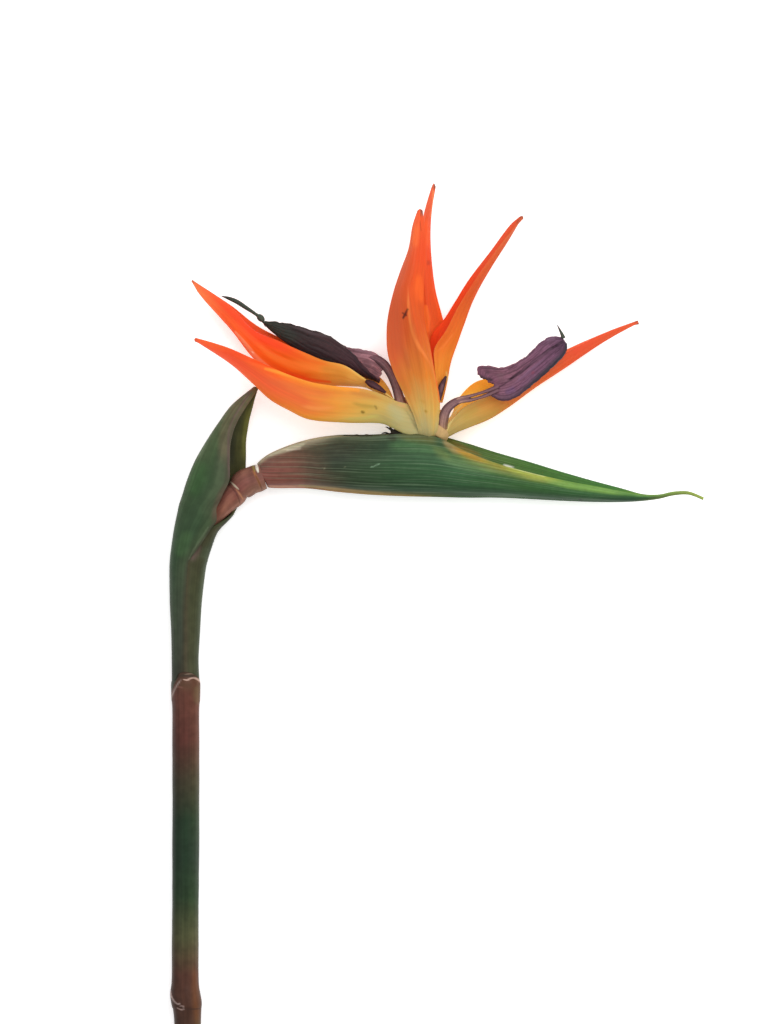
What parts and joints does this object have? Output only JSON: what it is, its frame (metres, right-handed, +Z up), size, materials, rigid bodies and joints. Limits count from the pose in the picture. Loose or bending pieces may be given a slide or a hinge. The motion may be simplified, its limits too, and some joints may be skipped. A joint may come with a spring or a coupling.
{
  "type": "bird of paradise flower",
  "caption": "Cut bird of paradise flower lying flat: stalk, leaf sheath, beak-shaped spathe, fanned orange sepals and purple tongues.",
  "frame": {"origin": "on the resting surface, under the belly of the leaf sheath", "axes": "+Z up from the surface, -Y along the stalk to its cut foot, +X along the spathe to its tail, sepals toward +Y"},
  "size_m": [0.2249, 0.3919, 0.025],
  "materials": {
    "stalk_skin": "satin plant skin, green to reddish brown",
    "sheath_skin": "satin leaf, dark green with a brown edge",
    "spathe_skin": "satin ribbed leaf, green with a reddish base",
    "pale_base": "matt fleshy cream green",
    "orange_sepal": "satin petal, red orange tip to yellow foot",
    "purple_tongue": "satin wrinkled petal, dark purple",
    "dark_style": "satin dark grey violet"
  },
  "bodies": {
    "root": {"stem": "stalk_skin", "sheath_leaf": "sheath_skin", "spathe": "spathe_skin", "floret_1_base": "pale_base", "floret_2_base": "pale_base", "floret_1_sepal_lower": "orange_sepal", "floret_1_sepal_upper": "orange_sepal", "floret_1_sepal_back": "orange_sepal", "floret_2_sepal_front": "orange_sepal", "floret_2_sepal_upper": "orange_sepal", "floret_2_sepal_right": "orange_sepal", "floret_1_tongue": "purple_tongue", "floret_2_tongue": "purple_tongue", "floret_1_small_petal": "purple_tongue", "floret_2_small_petal": "purple_tongue", "floret_1_style": "dark_style", "floret_2_style": "dark_style"}
  },
  "joints": []
}
